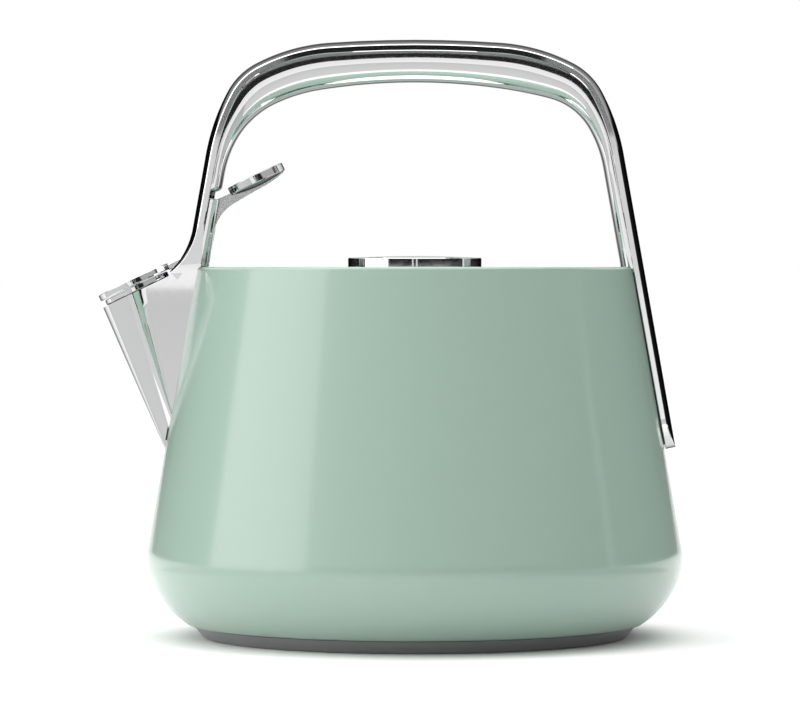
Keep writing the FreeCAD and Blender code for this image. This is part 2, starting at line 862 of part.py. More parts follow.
def steam_holes(name, count, pitch_radius, low, high):
    """Round steam holes through a whistle piece, in a ring."""
    lean_turn = Rotation(Vector(0, 0, 1), Vector(*OUT_OF_MOUTH))
    holes = []
    for index in range(count):
        turn = 2 * math.pi * (index + 0.5) / count
        local = Vector(pitch_radius * math.cos(turn), pitch_radius * math.sin(turn), low)
        spot = lean_turn.multVec(local)
        x, z = cell("cap_x") + spot.x, cell("cap_z") + spot.z
        holes.append(rod(f"{name}Steam{index}", 1.1, high - low, x, spot.y, z, OUT_OF_MOUTH))
    return holes


def whistle():
    gap, plate_thick = cell("steam_gap"), cell("plate_thick")
    spigot, cup, wall = cell("spigot_radius"), cell("cup_radius"), cell("cup_wall")
    plate_low = -gap - plate_thick
    cup_low = plate_low - cell("cup_depth")
    nut_low = cup_low - 1.0
    edge = size(0.25)
    cap = [
        (0, nut_low),
        (spigot, nut_low),
        (spigot, 0),
        (cell("cap_radius") - edge, 0),
        (cell("cap_radius"), edge),
        (cell("cap_radius"), cell("cap_thick") - edge),
        (cell("cap_radius") - edge, cell("cap_thick")),
        (0, cell("cap_thick")),
    ]
    cap_solid = keep(whistle_part("Cap", cap), "whistle_cap")
    ring = [
        (spigot, plate_low),
        (cell("plate_radius"), plate_low),
        (cell("plate_radius"), -gap),
        (spigot, -gap),
    ]
    plate_holes = steam_holes("Plate", 6, 5.4, -3.2, 0.5)
    keep(less("WhistlePlate", whistle_part("PlateTurned", ring), *plate_holes), "whistle_plate")
    shell = [
        (spigot, cup_low),
        (cup - 0.6, cup_low),
        (cup, cup_low + 0.6),
        (cup, plate_low),
        (cup - wall, plate_low),
        (cup - wall, cup_low + wall),
        (spigot, cup_low + wall),
    ]
    cup_holes = steam_holes("Cup", 4, 5.4, -8.2, -5.4)
    keep(less("WhistleCup", whistle_part("CupTurned", shell), *cup_holes), "whistle_cup")
    reed_low = cup_low + 2.4
    reed_high = reed_low + 0.4
    reed = [(spigot, reed_low), (cup - wall, reed_low), (cup - wall, reed_high), (spigot, reed_high)]
    reed_holes = steam_holes("Reed", 3, 5.4, -6.2, -3.2)
    keep(less("WhistleReed", whistle_part("ReedTurned", reed), *reed_holes), "whistle_reed")
    seal_low = -cell("mouth_drop")
    seal = [
        (cup, seal_low),
        (cell("plate_radius") - 0.5, seal_low),
        (cell("plate_radius") - 0.5, plate_low),
        (cup, plate_low),
    ]
    keep(whistle_part("Seal", seal), "whistle_seal")
    nut = [(spigot, nut_low), (spigot + 1.4, nut_low), (spigot + 1.4, cup_low), (spigot, cup_low)]
    keep(whistle_part("Nut", nut), "whistle_nut")
    return cap_solid


# ---------------------------------------------------------------- lid


def lid():
    thick, seat = cell("sheet"), cell("seat_height")
    top = seat + thick
    screw, play = cell("screw_radius"), cell("screw_play")
    hole = screw + play
    lid_radius = cell("lid_radius")
    edge = size(0.5)
    disc = [
        (hole, seat),
        (lid_radius, seat),
        (lid_radius, top - edge, edge),
        (lid_radius - edge, top),
        (hole, top),
    ]
    keep(turned("LidPlate", disc), "lid_plate")
    skirt, wall = cell("skirt_radius"), cell("skirt_wall")
    low = seat - cell("skirt_depth")
    flange = skirt - 7
    rings = [
        (skirt - wall, low),
        (skirt, low),
        (skirt, seat),
        (flange, seat),
        (flange, seat - wall),
        (skirt - wall, seat - wall),
    ]
    keep(turned("LidSkirt", rings), "lid_skirt")
    seal = cell("gasket_radius")
    mid = seat - 6
    lip = [
        (skirt, mid - 2),
        (skirt + 0.5, mid - 2),
        (seal, mid),
        (skirt + 0.5, mid + 2),
        (skirt, mid + 2),
    ]
    keep(turned("LidGasket", lip), "lid_gasket")
    spacer = [
        (hole, top),
        (cell("spacer_radius"), top),
        (cell("spacer_radius"), cell("knob_low")),
        (hole, cell("knob_low")),
    ]
    keep(turned("KnobSpacer", spacer), "knob_spacer")
    radius, low_knob, high = cell("knob_radius"), cell("knob_low"), cell("knob_edge")
    crown = cell("knob_top") - high
    bulge = (radius * radius + crown * crown) / (2 * crown)
    blind = high - 1.5
    soft = size(0.6)
    knob = [
        (screw, low_knob),
        (radius - soft, low_knob, soft),
        (radius, low_knob + soft),
        (radius, high, bulge),
        (0, cell("knob_top")),
        (0, blind),
        (screw, blind),
    ]
    keep(turned("Knob", knob), "lid_knob")
    washer_low = seat - 1
    head_low = washer_low - 2.8
    bolt = [
        (0, head_low),
        (screw + 2, head_low),
        (screw + 2, washer_low),
        (screw, washer_low),
        (screw, blind),
        (0, blind),
    ]
    keep(turned("KnobScrew", bolt), "knob_screw")
    ring = [(hole, washer_low), (screw + 3.5, washer_low), (screw + 3.5, seat), (hole, seat)]
    keep(turned("KnobWasher", ring), "knob_washer")


# ---------------------------------------------------------------- assembly


def gasket_outline(corners, length, toward_spout, name):
    return overlap(name + "Sheet", wall_ring(), prism(name + "Outline", corners, length, toward_spout))


def grip_screw():
    """Screw under the liner's end, from the inside into the left leg; returns its shank as a hole tool."""
    angle = math.radians(DRIVING["wall_lean"])
    outward = (-math.cos(angle), 0, math.sin(angle))
    height, head_radius, head_depth = size(165.2), size(1.6), size(1.5)
    thick = cell("band_thick")

    def at(depth):
        return -(ridge(height) - depth * cos(lean)), 0, height - depth * sin(lean)

    shank = rod("GripShank", size(1.2), size(3), *at(thick), outward)
    head = rod("GripHead", head_radius, head_depth, *at(thick + head_depth), outward)
    keep(join("GripScrew", shank, head), "grip_screw")
    return shank


def build():
    gap = cell("gasket") / cos(lean)
    low = size(40)
    envelope = taper("Envelope", wall_radius(low) + gap, wall_radius(rim) + gap, rim - low, 0, 0, low)
    left_band = band_sweep("LeftBand", shoulder_corners())
    window = water_window()
    neck_holes = bolt_set("neck", -1, ((5.5, 128.0), (-5.5, 128.0), (0, 79.0)), 3.6)
    tongue_holes = bolt_set("tongue", 1, ((0, 118.0), (0, 92.0)), 3.0)

    body_shell([window] + neck_holes + tongue_holes)
    base()
    handle_arch(left_band, envelope, tongue_holes + [grip_screw()])
    loft, below = grip_belly()
    keep(less("Belly", loft, below), "grip_belly")
    spout_neck(left_band, envelope, [window, lever_slot()] + neck_holes)
    lever_guide()
    inset = size(0.8)
    half, foot_half = cell("band_half") - inset, cell("web_foot_half") - inset
    foot = cell("web_foot_height") + 2
    neck_outline = [(-foot_half, foot), (foot_half, foot), (half, rim), (-half, rim)]
    neck_sheet = gasket_outline(neck_outline, size(120), True, "NeckGasket")
    keep(less("NeckGasket", neck_sheet, window, *neck_holes), "neck_gasket")
    tongue_sheet = gasket_outline(tongue_corners(inset), size(120), False, "TongueGasket")
    keep(less("TongueGasket", tongue_sheet, *tongue_holes), "tongue_gasket")

    pivot_parts()
    pad = keep(thumb_pad(), "thumb_pad")
    cap = whistle()
    lever_arm(cap, pad)
    lid()


def check_and_write():
    """Stops on any failed feature or bad solid, then writes one STEP file per node."""
    doc.recompute()
    for thing in doc.Objects:
        if "Invalid" in thing.State or "Error" in thing.State:
            raise RuntimeError(f"{thing.Name} ({thing.Label}) failed: {thing.State}")
    for node in nodes:
        shape = node.Shape
        if shape.isNull() or not shape.isValid() or not shape.Solids:
            raise RuntimeError(f"{node.Label} has no valid solid")
    os.makedirs("parts", exist_ok=True)
    for node in nodes:
        node.Shape.exportStep(f"parts/{node.Label}.step")
        print(f"{node.Label}: {len(node.Shape.Solids)} solid(s), {node.Shape.Volume:.1f} mm3")


build()
check_and_write()
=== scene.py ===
import math

import bmesh
import bpy
from mathutils import Matrix, Vector


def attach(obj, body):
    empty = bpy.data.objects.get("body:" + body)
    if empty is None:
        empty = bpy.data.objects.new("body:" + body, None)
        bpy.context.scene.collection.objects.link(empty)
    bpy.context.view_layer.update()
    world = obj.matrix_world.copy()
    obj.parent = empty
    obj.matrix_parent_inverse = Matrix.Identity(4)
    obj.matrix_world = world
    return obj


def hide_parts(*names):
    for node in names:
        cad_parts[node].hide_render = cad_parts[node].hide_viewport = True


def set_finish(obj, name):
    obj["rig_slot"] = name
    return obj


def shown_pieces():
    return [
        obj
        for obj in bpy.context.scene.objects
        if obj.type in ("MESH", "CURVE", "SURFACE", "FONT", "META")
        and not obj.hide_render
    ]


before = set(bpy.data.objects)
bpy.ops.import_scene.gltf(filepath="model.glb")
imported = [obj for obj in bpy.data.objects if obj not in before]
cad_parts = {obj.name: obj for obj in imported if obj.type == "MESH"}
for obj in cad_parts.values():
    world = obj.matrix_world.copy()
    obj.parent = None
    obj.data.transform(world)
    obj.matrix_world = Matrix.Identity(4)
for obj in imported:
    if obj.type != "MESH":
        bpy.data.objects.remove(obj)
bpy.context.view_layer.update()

# Looks of the stovetop kettle. Metres, +Z up, spout towards -X, the handle's plane is XZ.

TILT = math.radians(25.5)              # slope of the mouth, the whistle and the thumb pad
LEAN = math.radians(10.1)              # slope of the wall and of the handle's legs
RIM_RADIUS, RIM_Z = 0.0809, 0.1373     # corner of the wall's slope and the level land on top
SEAT_Z = 0.1265                        # level seat that the lid rests on
LIP_Z = 0.0048                         # where the enamel ends above the base plate


# ---------------------------------------------------------------- mesh helpers


def piece(name, vertices, faces, body, slot, replaced=(), sharp=40):
    """A mesh piece that rides on a body and stands for CAD nodes; corners over `sharp` degrees stay crisp."""
    mesh = bpy.data.meshes.new(name)
    mesh.from_pydata([Vector(v) for v in vertices], [], faces)
    shape = bmesh.new()
    shape.from_mesh(mesh)
    bmesh.ops.remove_doubles(shape, verts=shape.verts, dist=1e-6)
    bmesh.ops.recalc_face_normals(shape, faces=shape.faces)
    shape.to_mesh(mesh)
    shape.free()
    for face in mesh.polygons:
        face.use_smooth = True
    mesh.set_sharp_from_angle(angle=math.radians(sharp))
    thing = bpy.data.objects.new(name, mesh)
    bpy.context.scene.collection.objects.link(thing)
    weighted = thing.modifiers.new("Normals", "WEIGHTED_NORMAL")
    weighted.keep_sharp = True
    weighted.weight = 90
    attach(thing, body)
    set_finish(thing, slot)
    if replaced:
        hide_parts(*replaced)
    return thing


def arc(centre, radius, start, stop, steps):
    """Points on a circle, angles in degrees."""
    points = []
    for step in range(steps + 1):
        turn = math.radians(start + (stop - start) * step / steps)
        points.append((centre[0] + radius * math.cos(turn), centre[1] + radius * math.sin(turn)))
    return points


def bent_path(bends, top, side, steps=None):
    """Points with headings down from the middle through arcs, in `steps` parts each or about 1.2 degrees."""
    across, height, heading = 0.0, top, 0.0
    path = [(0.0, height, 0.0)]
    for bend, turn in bends:
        count = steps or round(turn / 1.2)
        for _ in range(count):
            after = heading + math.radians(turn) / count
            across += bend * (math.sin(after) - math.sin(heading))
            height -= bend * (math.cos(heading) - math.cos(after))
            heading = after
            path.append((side * across, height, heading))
    return path


def spaced(line, steps):
    """The same polyline as `steps` equal stretches."""
    reach = [0.0]
    for first, last in zip(line, line[1:]):
        reach.append(reach[-1] + (Vector(last) - Vector(first)).length)
    result, index = [], 0
    for step in range(steps + 1):
        want = reach[-1] * step / steps
        while index < len(line) - 2 and reach[index + 1] < want:
            index += 1
        share = (want - reach[index]) / (reach[index + 1] - reach[index])
        result.append(tuple(Vector(line[index]).lerp(Vector(line[index + 1]), share)))
    return result


def sag(across, radius, rise):
    """How far a shallow dome, `rise` high over `radius`, has dropped at `across` from its middle."""
    bulge = (radius * radius + rise * rise) / (2 * rise)
    return bulge - math.sqrt(bulge * bulge - across * across)


def clamped(value):
    return min(max(value, 0.0), 1.0)


def smooth(value):
    value = clamped(value)
    return value * value * (3 - 2 * value)


def lathe(profile, segments=192, closed=True):
    """Turns (radius, height) points about Z; points on the axis close to a fan."""
    vertices, faces = [], []
    rows = []
    for radius, height in profile:
        if radius < 1e-7:
            rows.append([len(vertices)] * segments)
            vertices.append((0, 0, height))
            continue
        rows.append(list(range(len(vertices), len(vertices) + segments)))
        for index in range(segments):
            turn = 2 * math.pi * index / segments
            vertices.append((radius * math.cos(turn), radius * math.sin(turn), height))
    count = len(rows) if closed else len(rows) - 1
    for row in range(count):
        low, high = rows[row], rows[(row + 1) % len(rows)]
        for index in range(segments):
            after = (index + 1) % segments
            ring = [low[index], low[after], high[after], high[index]]
            face = [v for place, v in enumerate(ring) if v not in ring[:place]]
            if len(face) > 2:
                faces.append(face)
    return vertices, faces


def skin(size, last):
    """Faces between neighbouring rings of `size` vertices, from the first ring to ring `last`."""
    faces = []
    for row in range(last):
        low, high = row * size, (row + 1) * size
        for index in range(size):
            after = (index + 1) % size
            faces.append([low + index, low + after, high + after, high + index])
    return faces


def loft(rings):
    """Skins closed rings of equal length and caps both ends."""
    size, last = len(rings[0]), len(rings) - 1
    faces = skin(size, last)
    faces.append(list(range(size))[::-1])
    faces.append([last * size + index for index in range(size)])
    return [point for ring in rings for point in ring], faces


def tilted(vertices, origin):
    """Turns a lathe about Z onto the whistle's slope and moves it to origin, a point (x, z) of the plane."""
    turn = Matrix.Rotation(-TILT, 4, "Y")
    return [turn @ Vector(v) + Vector((origin[0], 0, origin[1])) for v in vertices]


# ---------------------------------------------------------------- body and base


UPPER_BEND, UPPER_TURN = 0.019, 15.0     # the wall's first bend and its end, in degrees below level
LOWER_BEND, LOWER_TURN = 0.033, 58.3     # the wider bend that follows it down to the lip


def wall_radius(height):
    """Radius of the wall's straight slope."""
    return RIM_RADIUS + (RIM_Z - height) * math.tan(LEAN)


def body_profile(depth):
    """The wall's two bends, from the end of its straight slope to the lip, `depth` inside the surface."""
    upper_turn, lower_turn = math.radians(UPPER_TURN), math.radians(LOWER_TURN)
    join_z = LIP_Z + LOWER_BEND * (math.sin(lower_turn) - math.sin(upper_turn))
    wall_z = join_z + UPPER_BEND * (math.sin(upper_turn) + math.sin(LEAN))
    wall_r = wall_radius(wall_z)
    join_r = wall_r + UPPER_BEND * (math.cos(upper_turn) - math.cos(LEAN))
    upper_centre = (wall_r - UPPER_BEND * math.cos(LEAN), wall_z - UPPER_BEND * math.sin(LEAN))
    lower_centre = (join_r - LOWER_BEND * math.cos(upper_turn), join_z + LOWER_BEND * math.sin(upper_turn))
    points = arc(upper_centre, UPPER_BEND - depth, math.degrees(LEAN), -UPPER_TURN, 14)
    return points + arc(lower_centre, LOWER_BEND - depth, -UPPER_TURN, -LOWER_TURN, 24)[1:]


def body_shell():
    """Outside and inside of the wall, and the top with its land, sloping funnel, seat and neck."""
    rim_bend, thick, inset, slope_parts = 0.0014, 0.0012, 0.00006, 12
    trim = rim_bend * math.tan((math.pi / 2 - LEAN) / 2)
    outside = arc((RIM_RADIUS - trim, RIM_Z - rim_bend), rim_bend, 90, math.degrees(LEAN), 10)
    bends = body_profile(inset)
    slope_top, slope_foot = Vector(outside[-1]), Vector(bends[0])
    outside += [tuple(slope_top.lerp(slope_foot, step / slope_parts)) for step in range(1, slope_parts)]
    lip_radius, lip_depth = 0.0815, 0.001
    lip = [(lip_radius, LIP_Z), (lip_radius, LIP_Z + lip_depth)]
    inside = body_profile(thick)[::-1]
    inside_corner = RIM_RADIUS + thick * math.tan(LEAN) - thick / math.cos(LEAN)
    land, seat, neck = 0.077, 0.053, 0.0475
    neck_foot = SEAT_Z - 0.0115
    soft, ease, rise, fall = 0.0002, 0.001, 0.0004, 0.0009
    top = [
        (inside_corner, RIM_Z - thick),
        (land, RIM_Z - thick),
        (seat, SEAT_Z - thick),
        (neck + thick, SEAT_Z - thick),
        (neck + thick, neck_foot),
        (neck, neck_foot),
        (neck, SEAT_Z - soft),
        (neck + soft, SEAT_Z),
        (seat - ease, SEAT_Z),
        (seat + ease, SEAT_Z + rise),
        (land - 2 * ease, RIM_Z - fall),
        (land + ease / 2, RIM_Z),
    ]
    profile = outside + bends + lip + inside + top
    piece("body_coated", *lathe(profile, 256), "kettle", "mint_enamel", ["body_shell"], sharp=50)


def base_cap():
    """A dish under the body with a fine ring groove in its underside."""
    edge, foot, pocket, thick = 0.0826, 0.0788, 0.078, 0.0012
    groove_in, groove_out, groove_side, groove_deep = 0.0725, 0.0751, 0.0006, 0.0003
    soft, rim_ease = 0.0004, 0.0003
    widest_z = LIP_Z - soft
    profile = [
        (0, thick),
        (0, 0),
        (groove_in, 0),
        (groove_in + groove_side, groove_deep),
        (groove_out - groove_side, groove_deep),
        (groove_out, 0),
        (foot, 0),
        (foot + soft, soft),
        (edge - rim_ease, widest_z - soft),
        (edge, widest_z),
        (edge - soft, LIP_Z),
        (pocket, LIP_Z),
        (pocket, thick),
    ]
    piece("base_plate", *lathe(profile, 256), "kettle", "brushed_steel", ["base_cap"], sharp=35)


# ---------------------------------------------------------------- handle


ARCH_TOP = 0.2218
ARCH_BENDS = ((0.457, 4.0), (0.0691, 23.4), (0.0257, 34.6), (0.0798, 17.9))     # radius, degrees
BAND_HALF, BAND_THICK, BAND_CROWN = 0.0105, 0.0045, 0.0022
SHOULDER = 0.030                # hollow bend from the left leg into the mouth's slope
WHISTLE = (-0.104, 0.1305)      # middle of the whistle cap's underside
MOUTH_DROP = 0.0025             # the mouth's face below it
SPOT_FACE = 0.0135              # end of the mouth's flat face, up its slope from the whistle's axis
BELLY_TOP, BELLY_HALF = 0.2059, 0.0098
BELLY_BENDS = {
    -1: ((0.225, 9.0), (0.062, 16.0), (0.0327, 37.0), (0.040, 17.9)),
    1: ((0.225, 9.0), (0.150, 6.0), (0.0235, 45.0), (0.045, 19.9)),
}


def arch_path(side):
    """The band's ridge from the arch's top to where the leg runs straight."""
    return bent_path(ARCH_BENDS, ARCH_TOP, side)


def leg_point(side, height):
    """The straight leg's ridge at a height, with its heading."""
    x, z, heading = arch_path(1)[-1]
    return side * (x + (z - height) * math.tan(LEAN)), height, heading


def behind_leg(height, depth=0.0):
    """A point of the left leg's plane, `depth` behind the band's inner face."""
    return leg_point(-1, height)[0] + (BAND_THICK + depth) / math.cos(LEAN), height


def inward_of(side, heading):
    return Vector((-side * math.sin(heading), 0, -math.cos(heading)))


def band_ring(spot, side, half=BAND_HALF, crown=BAND_CROWN, on_wall=False):
    """Closed section of the crowned band. With `on_wall` its inner face follows the wall below the rim."""
    x, z, heading = spot
    inward = inward_of(side, heading)
    ridge = Vector((x, 0, z))
    edge, parts, wall_gap = 0.00025, 16, 0.0005
    drop = crown * (half / BAND_HALF) ** 2
    stations = [(-1 + 2 * step / parts) * (half - edge) for step in range(parts + 1)]
    ring = [ridge + Vector((0, y, 0)) + inward * (crown * (y / BAND_HALF) ** 2) for y in stations]
    ring.append(ridge + Vector((0, half, 0)) + inward * (drop + edge))
    lower = []
    for y in reversed(stations):
        point = ridge + Vector((0, y, 0)) + inward * BAND_THICK
        if on_wall and point.z < RIM_Z:
            wall = wall_radius(point.z) + wall_gap
            point.x = side * max(abs(point.x), math.sqrt(wall * wall - y * y))
        lower.append(point)
    ring.append(lower[0] + Vector((0, edge, 0)) - inward * edge)
    ring += lower
    ring.append(lower[-1] + Vector((0, -edge, 0)) - inward * edge)
    ring.append(ridge + Vector((0, -half, 0)) + inward * (drop + edge))
    return ring


def mouth_point(along, above=0.0):
    """A point of the spout's slope: `along` from the whistle's axis towards the handle, `above` the mouth."""
    drop = MOUTH_DROP - above
    x = WHISTLE[0] + drop * math.sin(TILT) + along * math.cos(TILT)
    z = WHISTLE[1] - drop * math.cos(TILT) + along * math.sin(TILT)
    return x, z


def along_mouth(x, z):
    """Distance up the mouth's slope from the whistle's axis."""
    mouth_x, mouth_z = mouth_point(0)
    return (x - mouth_x) * math.cos(TILT) + (z - mouth_z) * math.sin(TILT)


def shoulder_corner():
    """Where the left leg's ridge line would meet the mouth plane."""
    mouth_x, mouth_z = mouth_point(0)
    x, z, _ = arch_path(1)[-1]
    run = x + z * math.tan(LEAN) + mouth_x
    height = (mouth_z - run * math.tan(TILT)) / (1 - math.tan(LEAN) * math.tan(TILT))
    return leg_point(-1, height)[0], height


def shoulder_path(steps):
    """Ridge points with the band's crown, from the leg round the shoulder to the mouth's flat face."""
    corner_x, corner_z = shoulder_corner()
    heading = math.pi / 2 - LEAN
    turn = heading - TILT
    reach = SHOULDER * math.tan(turn / 2)
    centre_x = corner_x + reach * math.sin(LEAN) - SHOULDER * math.cos(LEAN)
    centre_z = corner_z + reach * math.cos(LEAN) + SHOULDER * math.sin(LEAN)
    path = []
    for step in range(steps + 1):
        now = heading - turn * step / steps
        x, z = centre_x + SHOULDER * math.sin(now), centre_z - SHOULDER * math.cos(now)
        if along_mouth(x, z) > SPOT_FACE:
            path.append((x, z, now))
    flattening = 0.6
    last = len(path) - 1
    return [(spot, BAND_CROWN * (1 - flattening * (step / last) ** 2)) for step, spot in enumerate(path)]


def handle_band():
    """The band from the right leg's rounded tip over the arch to the spout's mouth."""
    tip, straight_top, least_width, lead = 0.0703, 0.1415, 0.0012, 0.35
    tip_parts, leg_parts = 14, 23
    rings = []
    for step in range(tip_parts + 1):
        turn = math.pi / 2 * (step + lead) / (tip_parts + lead)
        height = tip + BAND_HALF * (1 - math.cos(turn))
        width = max(BAND_HALF * math.sin(turn), least_width)
        rings.append(band_ring(leg_point(1, height), 1, half=width, on_wall=True))
    straight_foot = tip + BAND_HALF
    for step in range(1, leg_parts + 1):
        height = straight_foot + (straight_top - straight_foot) * step / leg_parts
        rings.append(band_ring(leg_point(1, height), 1, on_wall=True))
    rings += [band_ring(spot, 1) for spot in reversed(arch_path(1))]
    rings += [band_ring(spot, -1) for spot in arch_path(-1)[1:]]
    set_in = 0.0001
    rings += [band_ring(spot, -1, BAND_HALF - set_in, crown) for spot, crown in shoulder_path(28)]
    piece("handle_band", *loft(rings), "kettle", "polished_chrome", ["handle_arch"], sharp=32)


def belly_line(side, low, steps):
    """Evenly spaced points down the grip's lower line from its middle to the height `low`."""
    path = bent_path(BELLY_BENDS[side], BELLY_TOP, side, 24)
    x, z, heading = path[-1]
    line = [spot[:2] for spot in path]
    line.append((x + side * (z - low) / math.tan(heading), low))
    return spaced(line, steps)


def band_inside(side, low, steps):
    """Evenly spaced points down the band's inner face from its middle to the height `low`."""
    overlap = 0.0001
    line = []
    for x, z, heading in arch_path(side) + [leg_point(side, low)]:
        inward = inward_of(side, heading) * (BAND_THICK - overlap)
        line.append((x + inward.x, z + inward.z))
    return spaced(line, steps)


def belly_ring(root, foot, scale=1.0):
    """Deep rounded section between the band's inner face and a point of the grip's lower line."""
    root, foot = Vector((root[0], 0, root[1])), Vector((foot[0], 0, foot[1]))
    least, parts, fullness = 0.35, 32, 0.62
    half = BELLY_HALF * (least + (1 - least) * scale)
    ring = []
    for step in range(parts + 1):
        turn = math.pi * step / parts
        across = -half * math.copysign(abs(math.cos(turn)) ** fullness, math.cos(turn))
        ring.append(root + Vector((0, across, 0)) + (foot - root) * (scale * math.sin(turn) ** fullness))
    return ring


def grip_belly():
    """The grip under the band: full depth along its length, with its left end rounded off."""
    left_low, right_low, steps = 0.1672, 0.13735, 56
    end_parts, end_reach, end_fullness = 6, 0.0016, 0.6
    left = list(zip(band_inside(-1, left_low, steps), belly_line(-1, left_low, steps)))
    right = list(zip(band_inside(1, right_low, steps), belly_line(1, right_low, steps)))
    last_root, last_foot = (Vector(point) for point in left[-1])
    rings = []
    for step in range(end_parts):
        turn = math.pi / 2 * (step + 0.5) / end_parts
        drop = Vector((0, -end_reach * math.cos(turn)))
        rings.append(belly_ring(last_root + drop, last_foot + drop, math.sin(turn) ** end_fullness))
    rings += [belly_ring(root, foot) for root, foot in reversed(left)]
    rings += [belly_ring(root, foot) for root, foot in right[1:]]
    piece("grip_liner", *loft(rings), "kettle", "polished_chrome", ["grip_belly"], sharp=60)


# ---------------------------------------------------------------- spout


NOSE_LEAN = math.radians(18.2)         # slope of the nose's axis
NOSE_TAPER = 0.091                     # its radius shrinks this much per metre downwards
NOSE_TOP, NOSE_RADIUS = Vector((-0.1049, 0.1263)), 0.012
NOSE_DOWN = Vector((math.sin(NOSE_LEAN), -math.cos(NOSE_LEAN)))
NOSE_ACROSS = Vector((math.cos(NOSE_LEAN), math.sin(NOSE_LEAN)))
FRONT_TOP, FRONT_FOOT = Vector((-0.1163, 0.12255)), Vector((-0.0929, 0.0694))     # the nose's front line
STRIP_START, STRIP_WIDEST = 0.0002, 0.0054     # hollow strip behind the nose's axis


def casting_half(x, z):
    """Half thickness of the spout casting: a tapered round nose that a hollow strip joins to a flat web."""
    offset = Vector((x, z)) - NOSE_TOP
    across = offset.dot(NOSE_ACROSS)
    radius = NOSE_RADIUS - NOSE_TAPER * offset.dot(NOSE_DOWN)
    nose = math.sqrt(max(radius * radius - min(across, 0) ** 2, 0))
    web_taper, web_height = 0.0029, 0.0663
    web = BAND_HALF - web_taper * clamped((RIM_Z - z) / web_height)
    strip_least, strip_foot, strip_height = 0.0010, 0.084, 0.044
    strip = strip_least + (STRIP_WIDEST - strip_least) * clamped((z - strip_foot) / strip_height)
    place = (across - STRIP_START) / strip
    mouth_x, mouth_z = mouth_point(0)
    depth = (x - mouth_x) * math.sin(TILT) - (z - mouth_z) * math.cos(TILT)
    hollow_at_mouth, hollow_gain, hollow_start, hollow_run = 0.08, 0.16, 0.005, 0.008
    hollow = hollow_at_mouth + hollow_gain * smooth((depth - hollow_start) / hollow_run)
    groove = hollow * strip * math.sin(math.pi * clamped(place)) ** 2
    return nose + (web - nose) * smooth(place) - groove


def upper_edge():
    """The casting's edge along the mouth and under the band's crown, and how many points lie on the mouth."""
    front_cut, mouth_parts, crowding = 0.0113, 96, 1.25
    corner = FRONT_TOP.lerp(FRONT_FOOT, front_cut)
    first = along_mouth(*corner)
    edge = [tuple(corner)]
    for step in range(1, mouth_parts + 1):
        edge.append(mouth_point(first + (SPOT_FACE - first) * (step / mouth_parts) ** crowding))
    mouth_columns = len(edge)
    for (x, z, heading), crown in reversed(shoulder_path(40)):
        inward = inward_of(-1, heading) * crown
        edge.append((x + inward.x, z + inward.z))
    return edge, mouth_columns


def hidden_heights(edge, lowest, highest):
    """How high each column ends behind the wall: nose, strip and web keep columns of their own."""
    axis_z, strip_z = 0.0830, 0.0848
    strip_end = STRIP_START + STRIP_WIDEST
    across = [(Vector(spot) - NOSE_TOP).dot(NOSE_ACROSS) for spot in edge]
    nose_count = sum(1 for value in across if value < 0.0)
    strip_count = sum(1 for value in across if value < strip_end)
    heights = []
    for index, value in enumerate(across):
        if index < nose_count:
            heights.append(lowest + (axis_z - lowest) * (1 - value / across[0]))
        elif index < strip_count:
            heights.append(axis_z + (strip_z - axis_z) * value / strip_end)
        else:
            share = (index - strip_count) / (len(edge) - 1 - strip_count)
            heights.append(strip_z + (highest - strip_z) * share)
    return heights


def hidden_edge(edge):
    """The edge inside the wall and the handle's leg, one point for each point of the upper edge."""
    web_top = 0.153
    knee, end = Vector((-0.0792, RIM_Z)), Vector(behind_leg(web_top))
    hidden = []
    for height in hidden_heights(edge, FRONT_FOOT.y, end.y):
        first, last = (FRONT_FOOT, knee) if height < knee.y else (knee, end)
        hidden.append(tuple(first.lerp(last, (height - first.y) / (last.y - first.y))))
    return hidden


def spout_casting():
    """Both cheeks of the casting as a grid of columns, open at the mouth."""
    edge, mouth_columns = upper_edge()
    rows, crowding = 72, 1.3
    vertices, faces = [], []
    index_of = {}
    for column, (high, low) in enumerate(zip(edge, hidden_edge(edge))):
        for row in range(rows + 1):
            spot = Vector(high).lerp(Vector(low), (row / rows) ** crowding)
            half = 0.0 if column == 0 else casting_half(*spot)
            for side in (-1, 1):
                index_of[column, row, side] = len(vertices)
                vertices.append((spot.x, side * half, spot.y))
    for column in range(len(edge) - 1):
        for row in range(rows):
            for side in (-1, 1):
                corners = [(column, row), (column + 1, row), (column + 1, row + 1), (column, row + 1)]
                faces.append([index_of[corner + (side,)] for corner in corners])
    for column in range(mouth_columns - 1, len(edge) - 1):
        corners = [(column, 0, -1), (column + 1, 0, -1), (column + 1, 0, 1), (column, 0, 1)]
        faces.append([index_of[corner] for corner in corners])
    piece("spout_casting", vertices, faces, "kettle", "polished_chrome", ["spout_neck"], sharp=38)
    halves = [vertices[index_of[column, 0, 1]][1] for column in range(mouth_columns)]
    mouth_well([(along_mouth(*spot), half) for spot, half in zip(edge, halves)])


def mouth_well(outline):
    """Face of the mouth inside the casting's edge, and the bore that the whistle plugs."""
    bore, soft, deep, set_down = 0.0094, 0.0003, 0.0072, 0.00005
    loop = outline + [(along, -half) for along, half in reversed(outline[1:])]
    vertices = []
    for depth, radius in ((set_down, None), (0.0, bore + soft), (soft, bore), (deep, bore)):
        for along, across in loop:
            if radius is not None:
                reach = math.hypot(along, across)
                along, across = along / reach * radius, across / reach * radius
            x, z = mouth_point(along, above=-depth)
            vertices.append((x, across, z))
    size, last = len(loop), 3
    faces = skin(size, last) + [[last * size + index for index in range(size)]]
    piece("mouth_well", vertices, faces, "kettle", "polished_chrome", sharp=35)


